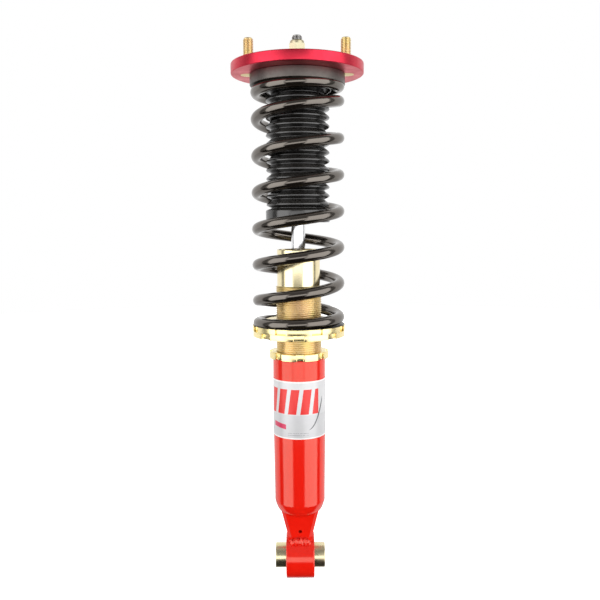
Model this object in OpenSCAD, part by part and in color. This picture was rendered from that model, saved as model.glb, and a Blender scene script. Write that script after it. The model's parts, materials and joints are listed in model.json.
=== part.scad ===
// Coilover: a height-adjustable spring and damper strut for a car's suspension,
// with a two-stud top plate and a rubber-bushed lower eye. Lengths are in millimetres.
// The origin is the centre of the lower eye, +Z runs up the damper, and X runs along
// the lower bolt and through both studs. The strut stands at full droop.

/* [Lower eye] */
// Outside diameter of the eye ring
eye_d = 46; // [44:0.5:50]
// Width of the eye ring along the bolt
eye_w = 29; // [26:1:34]
// Outside diameter of the bush's inner sleeve
sleeve_d = 25; // [22:0.5:26]
// Length of the bush's inner sleeve
sleeve_len = 51; // [46:1:54]
// Bore of the inner sleeve, for the lower bolt
bolt_bore_d = 12.2; // [10.2:0.1:14.2]

/* [Bracket] */
// Outside diameter of the threaded bracket tube
bracket_d = 53; // [52:0.5:56]
// Height of the bracket tube's closed end
bracket_bottom = 48; // [46:0.5:50]
// Height of the bracket tube's open end
bracket_top = 209.5; // [195:0.5:212]
// Width of the neck where it meets the tube
neck_top_w = 34.8; // [34:0.2:36]
// Width of the neck where it meets the eye
neck_low_w = 24.4; // [22:0.2:26]
// Lowest edge of the label wrap
label_bottom = 131; // [110:1:140]
// Height of the label wrap
label_h = 58; // [30:1:60]

/* [Damper] */
// Major diameter of the body's outside thread
thread_d = 45.6; // [44.8:0.2:46]
// Diameter of the smooth top of the body
body_d = 43; // [42:0.5:44]
// Bore of the damper body
body_bore_d = 38; // [36:0.5:39]
// Height of the top of the outside thread
thread_top = 281.8; // [275:0.2:285]
// Height of the body's open top
body_top = 318.4; // [314:0.2:320]
// Height of the body's closed end
body_bottom = 75; // [70:1:80]
// Diameter of the piston rod
rod_d = 14; // [12:0.5:16]
// Diameter of the rod's threaded ends
rod_end_d = 10; // [10:0.5:11]

/* [Adjusting rings] */
// Outside diameter of the spring perch
perch_d = 93; // [90:0.5:96]
// Height of the perch's lower face
perch_bottom = 237.5; // [235:0.5:240]
// Thickness of the perch
perch_t = 5.5; // [5:0.5:8]
// Outside diameter of the lock ring under the perch
lock_d = 92.6; // [88:0.2:94]
// Thickness of the lock ring
lock_t = 5.6; // [4:0.2:7]
// Outside diameter of the bracket's lock collar
collar_d = 60; // [57:0.5:62]
// Thickness of the bracket's lock collar
collar_t = 6.5; // [5:0.5:8]
// Width of a spanner notch in the perch and the lock ring
notch_w = 11; // [8:0.5:12]
// Width of a spanner notch in the bracket's collar
collar_notch_w = 7.6; // [6:0.2:9]
// Depth of a spanner notch
notch_depth = 3.2; // [2:0.1:4]
// Number of spanner notches in each ring
notch_count = 8; // [6:1:10]

/* [Spring] */
// Outside diameter of the coil
spring_d = 92; // [90:0.5:93]
// Diameter of the wire
wire_d = 11; // [9:0.5:11]
// Turn, in degrees, at which the wire starts
start_angle = 40; // [0:2:60]
// Turn, in degrees, at which the bottom coil opens out
open_angle = 376; // [360:4:400]
// Turn, in degrees, at which the top coil closes again
close_angle = 2563; // [2520:1:2600]
// Turn, in degrees, at which the wire ends
end_angle = 2993; // [2960:1:3020]
// Rise of the closed end coils in each turn
closed_pitch = 11; // [11:0.1:12]

/* [Top mount] */
// Height of the top plate's upper face above the eye's centre
mount_height = 498; // [496:0.5:500]
// Diameter of the top plate
plate_d = 129.5; // [120:0.5:140]
// Thickness of the top plate
plate_t = 10; // [8:0.5:11]
// Distance between the two studs
stud_spacing = 95; // [90:0.5:104]
// Diameter of the studs
stud_d = 10; // [8:1:12]
// How far the studs stand above the plate
stud_out = 25.4; // [20:0.2:30]
// Diameter of the upper spring seat
seat_d = 93; // [90:0.5:96]
// Thickness of the upper spring seat
seat_t = 10.5; // [9:0.5:12]
// Width across the flats of the rod nut
nut_af = 15; // [14:0.5:17]

/* [Dust boot and bump stop] */
// Outside diameter of the boot's folds
boot_d = 62.6; // [58:0.2:64]
// Diameter at the bottom of the boot's folds
boot_valley_d = 52; // [52:0.5:56]
// Number of folds
boot_folds = 13; // [9:1:14]
// Height of the boot's lower edge
boot_bottom = 345; // [342:1:350]
// Height of the bump stop's lower face
stop_bottom = 404; // [400:1:430]

/* [Hidden] */
$fn = 96;
eps = 1;                 // overlap that keeps a cut clean
fit = 0.05;              // radial clearance of a running fit
edge = 0.8;              // usual edge chamfer

// Lower eye
eye_bore_r = eye_d / 2 - 3;
shell_t = 1.5;
rubber_w = eye_w - 3;

// Bracket
bracket_floor = bracket_bottom + 6;
screw_bore_r = thread_d / 2 + 0.08;
label_t = 0.15;
neck_depth = 28;
foot_taper = 0.75;       // how much the tube's radius shrinks towards its closed end

// Damper
bore_r = body_bore_d / 2;
rod_r = rod_d / 2;
nose_r = rod_end_d / 2;
guide_top = body_top - 6;
guide_h = 20;
circlip_t = 1.5;
piston_top = guide_top - guide_h - 11.4;
piston_h = 14;
shim_t = 0.5;
top_out_t = 3;
piston_nut_h = 8;
float_top = body_bottom + 73;
float_h = 18;
plug_h = 15;
ring_section = 1;        // radius of an O-ring's section
groove_w = 2.4;

// Adjusting rings
perch_top = perch_bottom + perch_t;
slip_t = 0.4;
lip_r = spring_d / 2 - wire_d - 1;
lip_h = 5;

// Top mount
plate_bottom = mount_height - plate_t;
seat_bottom = plate_bottom - seat_t;
spigot_r = 29.5;
spigot_h = 11.5;
bush_r = 17;
bush_recess = 0.5;       // depth to which the upper bush is let into the plate
bush_spigot_r = 13;
lower_washer_t = 2.5;
upper_bush_t = 8;
upper_washer_t = 2.7;
nut_bottom = mount_height + upper_bush_t + upper_washer_t;
nut_h = 12;
nut_hex_h = 8.8;
nut_lip = 0.8;           // the crown's turned-in lip over the insert
rod_top = nut_bottom + nut_h + 4.8;
head_r = 8;
head_t = 2.5;
knurl_r = stud_d / 2 + 0.3;  // a stud's pressed-in shank

// Spring
spring_bottom = perch_top + slip_t;
spring_len = seat_bottom - spring_bottom;
coil_r = (spring_d - wire_d) / 2;
open_turns = (close_angle - open_angle) / 360;
closed_turns = (end_angle - close_angle + open_angle - start_angle) / 360;
open_pitch = (spring_len + wire_d / 2 - closed_pitch * closed_turns) / open_turns;
ramp = 40;               // half the turn over which the pitch changes, in degrees
wire_sides = 12;
wire_step = 12;          // turn between two rings of the wire, in degrees

// Boot
boot_wall = 1.5;
cuff_h = 13;
cuff_r = 32;
flare_r = 34;
flare_h = 6;
folds_bottom = boot_bottom + cuff_h;
folds_top = seat_bottom - flare_h - 4;
fold_h = (folds_top - folds_bottom) / boot_folds;

// A shape turned about the Z axis from an outline of [radius, height] points
module turned(outline) {
    rotate_extrude() polygon(outline);
}

// A washer or sleeve with chamfered outer edges
module ring(r_out, r_in, low, high, bevel = 0.3) {
    turned([[r_in, low], [r_out - bevel, low], [r_out, low + bevel],
            [r_out, high - bevel], [r_out - bevel, high], [r_in, high]]);
}

// A cylinder along X, centred on the eye
module along_x(r, length) {
    rotate([0, 90, 0]) cylinder(r = r, h = length, center = true);
}

// An O-ring: a turned round section
module oring(r_mid, height) {
    translate([0, 0, height]) rotate_extrude() translate([r_mid, 0]) circle(r = ring_section, $fn = 24);
}

// A flat ring with spanner notches around its edge and a plain bore in place of its thread
module notched_ring(d, low, thick, notch, turn) {
    difference() {
        ring(d / 2, screw_bore_r, low, low + thick, edge);
        for (i = [0 : notch_count - 1])
            rotate([0, 0, turn + i * 360 / notch_count])
                translate([d / 2 - notch_depth, -notch / 2, low - eps])
                    cube([notch_depth + eps, notch, thick + 2 * eps]);
    }
}

// Rise of a helix whose pitch changes over a short ramp centred on zero
function soft_ramp(turn) =
    turn < -ramp ? 0 : turn > ramp ? turn : pow(turn + ramp, 2) / (4 * ramp);

// Height of the wire's centre above the spring's lower face at a turn
function wire_height(turn) =
    -wire_d / 4 + closed_pitch * (turn - start_angle) / 360
    + (open_pitch - closed_pitch) / 360
      * (soft_ramp(turn - open_angle) - soft_ramp(turn - close_angle));

// One corner of the wire's section at a turn
function wire_corner(turn, side) =
    let (around = 360 * (side + 0.5) / wire_sides, r = coil_r + wire_d / 2 * cos(around))
    [r * cos(turn), r * sin(turn), spring_bottom + wire_height(turn) + wire_d / 2 * sin(around)];

module top_plate() {
    color([0.72, 0.06, 0.12]) difference() {
        ring(plate_d / 2, bush_spigot_r, plate_bottom, mount_height, edge);
        translate([0, 0, mount_height - bush_recess]) cylinder(r = bush_r + 0.6, h = bush_recess + eps);
        for (side = [-1, 1]) translate([side * stud_spacing / 2, 0, 0]) {
            translate([0, 0, plate_bottom - eps]) cylinder(r = knurl_r, h = plate_t + 2 * eps);
            translate([0, 0, plate_bottom - eps]) cylinder(r = head_r, h = head_t + eps);
        }
    }
}

module mount_studs() {
    tip = 1.6;
    stud_top = mount_height + stud_out;
    color([0.8, 0.7, 0.42]) for (side = [-1, 1])
        translate([side * stud_spacing / 2, 0, 0])
            turned([[0, plate_bottom], [head_r, plate_bottom], [head_r, plate_bottom + head_t],
                    [knurl_r, plate_bottom + head_t], [knurl_r, mount_height],
                    [stud_d / 2, mount_height], [stud_d / 2, stud_top - tip],
                    [stud_d / 2 - tip, stud_top], [0, stud_top]]);
}

module rod_nut() {
    crown_r = nut_af / 2 - 0.7;
    color([0.78, 0.77, 0.7]) difference() {
        union() {
            intersection() {
                translate([0, 0, nut_bottom]) rotate([0, 0, 30])
                    cylinder(d = nut_af / cos(30), h = nut_hex_h, $fn = 6);
                ring(nut_af / 2 + 0.9, nose_r - 1, nut_bottom, nut_bottom + nut_hex_h, edge);
            }
            ring(crown_r, nose_r + fit, nut_bottom + nut_hex_h - eps, nut_bottom + nut_h, 1.2);
        }
        translate([0, 0, nut_bottom - eps]) cylinder(r = nose_r + fit, h = nut_h + 2 * eps);
        translate([0, 0, nut_bottom + nut_hex_h]) cylinder(r = nose_r + 1, h = nut_h - nut_hex_h - nut_lip);
    }
}

module nut_insert() {
    color([0.85, 0.85, 0.82]) ring(nose_r + 1, nose_r + fit, nut_bottom + nut_hex_h,
                                   nut_bottom + nut_h - nut_lip, 0.1);
}

module upper_washer() {
    color([0.75, 0.72, 0.6]) ring(bush_r, nose_r + fit, nut_bottom - upper_washer_t, nut_bottom);
}

module upper_bush() {
    color([0.08, 0.08, 0.08])
        turned([[rod_r, mount_height - 4], [bush_spigot_r, mount_height - 4],
                [bush_spigot_r, mount_height - bush_recess], [bush_r, mount_height - bush_recess],
                [bush_r, mount_height + upper_bush_t], [rod_r, mount_height + upper_bush_t]]);
}

module centre_sleeve() {
    color([0.7, 0.7, 0.68]) ring(rod_r, nose_r + fit, seat_bottom + lower_washer_t,
                                 mount_height + upper_bush_t, 0.2);
}

module lower_bush() {
    base = seat_bottom + lower_washer_t;
    color([0.08, 0.08, 0.08])
        turned([[rod_r, base], [bush_r, base], [bush_r, plate_bottom], [bush_spigot_r, plate_bottom],
                [bush_spigot_r, plate_bottom + 4], [rod_r, plate_bottom + 4]]);
}

module lower_washer() {
    color([0.75, 0.72, 0.6]) ring(bush_r - 0.5, nose_r + fit, seat_bottom,
                                  seat_bottom + lower_washer_t);
}

module upper_spring_seat() {
    hole_r = bush_r + 0.5;
    color([0.12, 0.12, 0.12])
        turned([[hole_r, seat_bottom - spigot_h], [spigot_r, seat_bottom - spigot_h],
                [spigot_r, seat_bottom], [seat_d / 2 - edge, seat_bottom],
                [seat_d / 2, seat_bottom + edge], [seat_d / 2, plate_bottom - edge],
                [seat_d / 2 - edge, plate_bottom], [hole_r, plate_bottom]]);
}

// A wire of round section wound on a helix, with both ends ground flat
module main_spring() {
    wound = end_angle - start_angle;
    rings = floor(wound / wire_step);
    last = rings * wire_sides;
    color([0.05, 0.05, 0.05]) intersection() {
        polyhedron(
            points = [for (i = [0 : rings], side = [0 : wire_sides - 1])
                          wire_corner(start_angle + i * wound / rings, side)],
            faces = concat(
                [[for (side = [0 : wire_sides - 1]) side]],
                [[for (side = [wire_sides - 1 : -1 : 0]) last + side]],
                [for (i = [0 : rings - 1], side = [0 : wire_sides - 1], half = [0, 1])
                    let (a = i * wire_sides + side, b = i * wire_sides + (side + 1) % wire_sides)
                    half == 0 ? [a, a + wire_sides, b + wire_sides] : [a, b + wire_sides, b]]));
        translate([-spring_d, -spring_d, spring_bottom]) cube([2 * spring_d, 2 * spring_d, spring_len]);
    }
}

module dust_boot() {
    ridge = boot_d / 2;
    valley = boot_valley_d / 2;
    skin = [for (i = [0 : boot_folds - 1], corner = [[0.15, valley], [0.4, ridge],
                                                      [0.6, ridge], [0.85, valley]])
                [corner[1], folds_bottom + (i + corner[0]) * fold_h]];
    outside = concat([[cuff_r, boot_bottom], [cuff_r, folds_bottom - 1]], skin,
                     [[flare_r, seat_bottom - flare_h], [flare_r, seat_bottom]]);
    collar_h = spigot_h - 3;
    lining = [[spigot_r + fit, seat_bottom], [spigot_r + fit, seat_bottom - collar_h],
              [valley - boot_wall, seat_bottom - collar_h - 4], [valley - boot_wall, folds_bottom + 1],
              [cuff_r - boot_wall, folds_bottom - 2], [cuff_r - boot_wall, boot_bottom]];
    color([0.1, 0.1, 0.1]) turned(concat(outside, lining));
}

module bump_stop() {
    lobe_h = (seat_bottom - spigot_h - stop_bottom) / 3;
    waist = 14;
    belly = 19;
    outside = [for (i = [0 : 2], corner = [[0.1, waist], [0.35, belly], [0.7, belly], [0.92, waist]])
                  [corner[1] - (2 - i) * 0.5, stop_bottom + (i + corner[0]) * lobe_h]];
    color([0.75, 0.7, 0.3])
        turned(concat([[rod_r + fit, stop_bottom], [waist - 2, stop_bottom]], outside,
                      [[waist, seat_bottom], [rod_r + fit, seat_bottom]]));
}

module piston_rod() {
    nose_bottom = piston_top - piston_h - 4 * shim_t - piston_nut_h - 3;
    shoulder = piston_top + 4 * shim_t + top_out_t;
    color([0.85, 0.85, 0.87])
        turned([[0, nose_bottom], [nose_r - 1, nose_bottom], [nose_r, nose_bottom + 1],
                [nose_r, shoulder], [rod_r, shoulder], [rod_r, seat_bottom], [nose_r, seat_bottom],
                [nose_r, rod_top - 1.2], [nose_r - 1.2, rod_top], [0, rod_top]]);
}

module top_out_washer() {
    color([0.6, 0.6, 0.6]) ring(bore_r - 5, nose_r + fit, piston_top + 4 * shim_t,
                                piston_top + 4 * shim_t + top_out_t);
}

// A stack of thin discs that grow towards the piston; step is -1 below it and 1 above it
module shim_stack(start, step) {
    color([0.55, 0.56, 0.6]) for (i = [0 : 3]) {
        base = start + step * i * shim_t;
        ring(bore_r - 4 - i * 1.5, nose_r + fit, min(base, base + step * shim_t),
             max(base, base + step * shim_t), 0.05);
    }
}

module rebound_shims() {
    shim_stack(piston_top, 1);
}

module piston() {
    port_r = 2.2;
    color([0.6, 0.6, 0.62]) difference() {
        ring(bore_r - 2 * fit, nose_r + fit, piston_top - piston_h, piston_top, 0.5);
        ring(bore_r + eps, bore_r - 1.2, piston_top - piston_h + 3, piston_top - 3, 0);
        for (i = [0 : 5]) rotate([0, 0, i * 60]) translate([bore_r - 7, 0, piston_top - piston_h - eps])
            cylinder(r = port_r, h = piston_h + 2 * eps);
    }
}

module piston_band() {
    color([0.15, 0.3, 0.25]) ring(bore_r - fit, bore_r - 1.2, piston_top - piston_h + 3,
                                  piston_top - 3, 0.2);
}

module compression_shims() {
    shim_stack(piston_top - piston_h, -1);
}

module piston_nut() {
    top = piston_top - piston_h - 4 * shim_t;
    color([0.7, 0.7, 0.7]) difference() {
        translate([0, 0, top - piston_nut_h]) cylinder(d = 17 / cos(30), h = piston_nut_h, $fn = 6);
        translate([0, 0, top - piston_nut_h - eps]) cylinder(r = nose_r + fit, h = piston_nut_h + 2 * eps);
    }
}

module rod_wiper() {
    color([0.05, 0.05, 0.05])
        turned([[rod_r + fit, guide_top], [rod_r + 5, guide_top], [rod_r + 5, guide_top + 2.5],
                [rod_r + 2, guide_top + 4.5], [rod_r + fit, guide_top + 4.5]]);
}

module rod_seal() {
    color([0.3, 0.12, 0.08]) ring(rod_r + 5, rod_r + fit, guide_top - 6, guide_top, 0.2);
}

module rod_guide() {
    base = guide_top - guide_h;
    groove = guide_top - 14;
    color([0.62, 0.62, 0.6]) difference() {
        ring(bore_r, rod_r + fit, base, guide_top, 0.5);
        ring(rod_r + 5, rod_r - 1, guide_top - 6, guide_top + eps, 0);
        ring(bore_r + eps, bore_r - 2 * ring_section - 0.1, groove - groove_w / 2,
             groove + groove_w / 2, 0);
    }
}

module guide_oring() {
    color([0.06, 0.06, 0.06]) oring(bore_r - ring_section - 0.02, guide_top - 14);
}

module guide_circlip() {
    gap = 5;
    color([0.4, 0.4, 0.42]) difference() {
        ring(bore_r + 0.8, bore_r - 2.2, guide_top, guide_top + circlip_t, 0.1);
        translate([-gap / 2, 0, guide_top - eps]) cube([gap, bore_r + 4, circlip_t + 2 * eps]);
    }
}

// The body with its smooth top, a plain cylinder in place of its outside thread, and a
// groove near the rim
module damper_tube() {
    rim = 1.2;
    groove = body_top - 6.5;
    color([0.83, 0.7, 0.42])
        turned([[bore_r, body_bottom], [thread_d / 2 - rim, body_bottom],
                [thread_d / 2, body_bottom + rim], [thread_d / 2, thread_top - rim],
                [body_d / 2, thread_top], [body_d / 2, groove], [body_d / 2 - 0.5, groove + 0.4],
                [body_d / 2 - 0.5, groove + 1.2], [body_d / 2, groove + 1.6],
                [body_d / 2, body_top - rim], [body_d / 2 - rim, body_top], [bore_r, body_top],
                [bore_r, guide_top + circlip_t + 0.1], [bore_r + 0.9, guide_top + circlip_t + 0.1],
                [bore_r + 0.9, guide_top], [bore_r, guide_top]]);
}

module floating_piston() {
    middle = float_top - float_h / 2;
    color([0.6, 0.6, 0.62]) difference() {
        ring(bore_r - 2 * fit, 0, float_top - float_h, float_top, 0.5);
        ring(bore_r + eps, bore_r - 2 * ring_section - 0.2, middle - groove_w / 2,
             middle + groove_w / 2, 0);
        translate([0, 0, float_top - float_h - eps]) cylinder(r = bore_r - 6, h = 6 + eps);
    }
}

module floating_oring() {
    color([0.06, 0.06, 0.06]) oring(bore_r - ring_section - fit, float_top - float_h / 2);
}

module end_plug() {
    groove = body_bottom + plug_h - 5;
    color([0.62, 0.62, 0.6]) difference() {
        ring(bore_r, 3, body_bottom, body_bottom + plug_h, 0.5);
        ring(bore_r + eps, bore_r - 2 * ring_section - 0.1, groove - groove_w / 2,
             groove + groove_w / 2, 0);
        translate([0, 0, body_bottom - eps]) cylinder(r = 7, h = 5 + eps);
    }
}

module plug_oring() {
    color([0.06, 0.06, 0.06]) oring(bore_r - ring_section - 0.02, body_bottom + plug_h - 5);
}

module gas_screw() {
    socket_af = 3;
    color([0.3, 0.3, 0.32]) difference() {
        turned([[0, body_bottom + 1], [5, body_bottom + 1], [5, body_bottom + 5], [3, body_bottom + 5],
                [3, body_bottom + 13], [0, body_bottom + 13]]);
        translate([0, 0, body_bottom]) cylinder(d = socket_af / cos(30), h = 3, $fn = 6);
    }
}

module slip_ring() {
    color([0.06, 0.06, 0.06]) ring(spring_d / 2, lip_r + fit, perch_top, perch_top + slip_t, 0.1);
}

module spring_perch() {
    color([0.9, 0.78, 0.45]) {
        notched_ring(perch_d, perch_bottom, perch_t, notch_w, 180 / notch_count);
        ring(lip_r, screw_bore_r, perch_top - eps, perch_top + lip_h, edge);
    }
}

module perch_lock_ring() {
    color([0.9, 0.78, 0.45]) notched_ring(lock_d, perch_bottom - lock_t, lock_t, notch_w, -90);
}

module bracket_collar() {
    color([0.9, 0.78, 0.45]) notched_ring(collar_d, bracket_top, collar_t, collar_notch_w, -88);
}

// The tube with its closed, rounded end and a plain bore in place of its inside thread
module bracket_tube() {
    r = bracket_d / 2;
    foot_r = r - foot_taper;
    cap_r = foot_r - 1;
    shoulder = 8;
    rim = 1;
    color([0.9, 0.1, 0.05])
        turned(concat([[0, bracket_bottom]],
                      [for (a = [0 : 15 : 90])
                          [cap_r - shoulder + shoulder * sin(a), bracket_bottom + shoulder * (1 - cos(a))]],
                      [[cap_r + 0.2, bracket_bottom + 10], [foot_r, bracket_bottom + 13],
                       [foot_r, bracket_bottom + 24], [r, label_bottom - 2],
                       [r, bracket_top - rim], [r - rim, bracket_top], [screw_bore_r, bracket_top],
                       [screw_bore_r, bracket_floor], [0, bracket_floor]]));
}

module tube_label() {
    color([0.85, 0.85, 0.85]) ring(bracket_d / 2 + label_t, bracket_d / 2, label_bottom,
                                   label_bottom + label_h, 0.02);
}

// A slab of the neck with cut corners, at a height
module neck_slab(width, depth, cut, height) {
    x = width / 2;
    y = depth / 2;
    translate([0, 0, height]) linear_extrude(0.5)
        polygon([[-x + cut, -y], [x - cut, -y], [x, -y + cut], [x, y - cut],
                 [x - cut, y], [-x + cut, y], [-x, y - cut], [-x, -y + cut]]);
}

module bracket_neck() {
    drain_r = 1.8;
    drain_z = 31;
    foot_z = 12;
    waist_z = 24;
    cut = 3;
    sunk = 4;            // how far the neck runs up into the tube's closed end
    color([0.9, 0.1, 0.05]) difference() {
        hull() {
            neck_slab(neck_low_w, neck_depth, cut, foot_z);
            neck_slab(neck_low_w, neck_depth, cut, waist_z);
            neck_slab(neck_top_w + 0.7 * sunk, neck_depth + 4, cut, bracket_bottom + sunk - 0.5);
        }
        along_x(eye_d / 2, 2 * eye_w);
        translate([0, 0, drain_z]) rotate([90, 0, 0]) cylinder(r = drain_r, h = neck_depth);
    }
}

// Fillet welds along the front and the back of the neck's foot
module weld_bead() {
    toe_y = neck_depth / 2;
    toe_z = sqrt(pow(eye_d / 2, 2) - pow(toe_y, 2));
    color([0.85, 0.1, 0.06]) for (side = [-1, 1])
        difference() {
            translate([-neck_low_w / 2 + 3, 0, 0]) rotate([90, 0, 90])
                linear_extrude(neck_low_w - 6)
                    polygon([[side * toe_y, toe_z - 1], [side * (toe_y + 4.5), toe_z - 6],
                             [side * (toe_y + 4.2), toe_z - 1], [side * (toe_y + 2), toe_z + 3.5],
                             [side * toe_y, toe_z + 5]]);
            along_x(eye_d / 2, 2 * eye_w);
        }
}

module eye_ring() {
    color([0.9, 0.1, 0.05]) rotate([0, 90, 0])
        ring(eye_d / 2, eye_bore_r, -eye_w / 2, eye_w / 2, 1);
}

module bush_shell() {
    color([0.3, 0.3, 0.3]) rotate([0, 90, 0])
        ring(eye_bore_r, eye_bore_r - shell_t, -eye_w / 2, eye_w / 2, 0.3);
}

module bush_rubber() {
    r = eye_bore_r - shell_t;
    color([0.08, 0.08, 0.08]) rotate([0, 90, 0])
        turned([[sleeve_d / 2 + fit, -rubber_w / 2 - 1], [r, -rubber_w / 2 + 1],
                [r, rubber_w / 2 - 1], [sleeve_d / 2 + fit, rubber_w / 2 + 1]]);
}

module bush_sleeve() {
    color([0.83, 0.72, 0.45]) rotate([0, 90, 0])
        ring(sleeve_d / 2, bolt_bore_d / 2, -sleeve_len / 2, sleeve_len / 2, edge);
}

top_plate();
mount_studs();
rod_nut();
nut_insert();
upper_washer();
upper_bush();
centre_sleeve();
lower_bush();
lower_washer();
upper_spring_seat();
main_spring();
dust_boot();
bump_stop();
piston_rod();
top_out_washer();
rebound_shims();
piston();
piston_band();
compression_shims();
piston_nut();
rod_wiper();
rod_seal();
rod_guide();
guide_oring();
guide_circlip();
damper_tube();
floating_piston();
floating_oring();
end_plug();
plug_oring();
gas_screw();
slip_ring();
spring_perch();
perch_lock_ring();
bracket_collar();
bracket_tube();
tube_label();
bracket_neck();
weld_bead();
eye_ring();
bush_shell();
bush_rubber();
bush_sleeve();
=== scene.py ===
import json
import math

import bmesh
import bpy
from bmesh.types import BMEdge, BMFace, BMVert
from bpy.props import FloatProperty, FloatVectorProperty, IntProperty, PointerProperty
from mathutils import Matrix, Vector


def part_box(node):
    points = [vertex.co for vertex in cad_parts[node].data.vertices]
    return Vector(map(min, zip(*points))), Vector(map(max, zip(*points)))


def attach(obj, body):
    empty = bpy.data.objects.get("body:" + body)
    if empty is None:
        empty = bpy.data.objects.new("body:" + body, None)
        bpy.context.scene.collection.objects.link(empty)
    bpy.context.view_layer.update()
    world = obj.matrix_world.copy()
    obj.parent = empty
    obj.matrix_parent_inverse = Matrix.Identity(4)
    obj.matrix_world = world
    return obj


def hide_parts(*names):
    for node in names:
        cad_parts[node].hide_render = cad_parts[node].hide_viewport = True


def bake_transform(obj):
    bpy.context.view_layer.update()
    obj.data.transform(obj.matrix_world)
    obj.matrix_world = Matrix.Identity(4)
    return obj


bl_info = {
    "name": "Coilover",
    "version": (1, 0, 0),
    "blender": (4, 5, 0),
    "location": "3D View > Sidebar > Coilover",
    "description": "Models and finishes the visible pieces of a coilover around its CAD frame",
    "category": "Add Mesh",
}

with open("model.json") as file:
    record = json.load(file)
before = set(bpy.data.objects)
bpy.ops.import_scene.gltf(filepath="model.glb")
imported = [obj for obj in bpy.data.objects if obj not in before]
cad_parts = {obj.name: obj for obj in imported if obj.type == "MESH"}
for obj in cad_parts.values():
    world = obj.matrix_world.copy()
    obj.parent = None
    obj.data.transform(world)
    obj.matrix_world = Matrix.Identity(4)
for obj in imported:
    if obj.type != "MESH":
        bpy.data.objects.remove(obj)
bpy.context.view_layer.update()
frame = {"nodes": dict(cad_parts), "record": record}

MM = 0.001
FULL_TURN = 2 * math.pi
ROUND = 144              # segments of a large turned body
SMALL_ROUND = 64         # segments of a small turned body
STUD_HEAD = 2.5 * MM     # height of a stud's head, let into the plate
STUD_SHANK = 5.3 * MM    # radius of a stud's knurled shank, pressed into the plate
THREAD_BORE = 22.88 * MM  # radius of the plain bores that run over the body's thread


# ---------------------------------------------------------------- frame measures

def low(node):
    """Height of a CAD node's lowest point."""
    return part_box(node)[0][2]


def high(node):
    """Height of a CAD node's highest point."""
    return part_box(node)[1][2]


def radius(node):
    """Outer radius about Z of a CAD node that is centred on the axis."""
    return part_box(node)[1][1]


def stud_reach():
    """Distance from the axis to the middle of a stud."""
    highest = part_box("mount_studs")[1]
    return highest.x - highest.y


# ---------------------------------------------------------------- settings

class CoiloverSizes(bpy.types.PropertyGroup):
    """Sizes of the detail that the CAD frame leaves plain"""

    coil: FloatProperty(
        name="Spring coil", description="Outside diameter of the spring's coils",
        default=92 * MM, unit="LENGTH")
    wire: FloatProperty(
        name="Spring wire", description="Diameter of the spring's wire",
        default=11 * MM, unit="LENGTH")
    perch: FloatProperty(
        name="Perch", description="Outside diameter of the spring perch",
        default=93 * MM, unit="LENGTH")
    lock_ring: FloatProperty(
        name="Lock ring", description="Outside diameter of the ring under the perch",
        default=92.6 * MM, unit="LENGTH")
    collar: FloatProperty(
        name="Collar", description="Outside diameter of the bracket's lock collar",
        default=60 * MM, unit="LENGTH")
    neck: FloatProperty(
        name="Neck", description="Width of the neck where it meets the eye",
        default=24.4 * MM, unit="LENGTH")
    body_pitch: FloatProperty(
        name="Body thread pitch", description="Rise of the damper body's thread in each turn",
        default=2 * MM, unit="LENGTH")
    stud_pitch: FloatProperty(
        name="Stud thread pitch", description="Rise of a stud's thread in each turn",
        default=1.5 * MM, unit="LENGTH")
    ring_notch: FloatProperty(
        name="Ring notch", description="Width of a spanner notch in the perch and its lock ring",
        default=11 * MM, unit="LENGTH")
    collar_notch: FloatProperty(
        name="Collar notch", description="Width of a spanner notch in the bracket collar",
        default=7.6 * MM, unit="LENGTH")
    notch_depth: FloatProperty(
        name="Notch depth", description="Depth of a spanner notch",
        default=3.2 * MM, unit="LENGTH")
    notches: IntProperty(
        name="Notches", description="Number of spanner notches in each ring",
        default=8, min=4, max=12)
    folds: IntProperty(
        name="Boot folds", description="Number of folds in the dust boot",
        default=13, min=6, max=20)


class CoiloverFinish(bpy.types.PropertyGroup):
    """Base colours of the finishes"""

    red_paint: FloatVectorProperty(
        name="Bracket paint", description="Gloss powder coat of the bracket",
        subtype="COLOR", default=(0.86, 0.012, 0.004), min=0, max=1)
    red_anodised: FloatVectorProperty(
        name="Top plate", description="Anodising of the top plate",
        subtype="COLOR", default=(0.66, 0.035, 0.065), min=0, max=1)
    zinc: FloatVectorProperty(
        name="Yellow zinc", description="Yellow zinc plate of the damper body and studs",
        subtype="COLOR", default=(0.76, 0.57, 0.27), min=0, max=1)
    bright_zinc: FloatVectorProperty(
        name="Polished yellow zinc", description="Yellow zinc plate of the turned rings",
        subtype="COLOR", default=(0.97, 0.82, 0.42), min=0, max=1)
    black_paint: FloatVectorProperty(
        name="Spring paint", description="Gloss powder coat of the spring",
        subtype="COLOR", default=(0.005, 0.003, 0.0015), min=0, max=1)
    label: FloatVectorProperty(
        name="Label film", description="Silver film of the label wrap",
        subtype="COLOR", default=(0.74, 0.74, 0.75), min=0, max=1)


class CoiloverStudio(bpy.types.PropertyGroup):
    """Camera and light of the studio"""

    lens: FloatProperty(
        name="Lens", description="Focal length in millimetres on a 36 mm sensor", default=43.2)
    distance: FloatProperty(
        name="Distance", description="Distance of the camera from the damper's axis",
        default=0.7215, unit="LENGTH")
    height: FloatProperty(
        name="Height", description="Height of the camera above the lower eye",
        default=0.3412, unit="LENGTH")
    pitch: FloatProperty(
        name="Pitch", description="Downward tilt of the camera",
        default=math.radians(5.85), subtype="ANGLE")
    roll: FloatProperty(
        name="Roll", description="Turn of the camera about its own line of sight",
        default=math.radians(-0.37), subtype="ANGLE")
    sideways: FloatProperty(
        name="Sideways", description="Offset of the camera to the right of the axis",
        default=1.3 * MM, unit="LENGTH")
    light: FloatProperty(
        name="Light", description="Brightness of the whole light tent", default=1.0, min=0)


def sizes():
    return bpy.context.scene.coilover_sizes


def finish():
    return bpy.context.scene.coilover_finish


# ---------------------------------------------------------------- mesh tools

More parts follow.
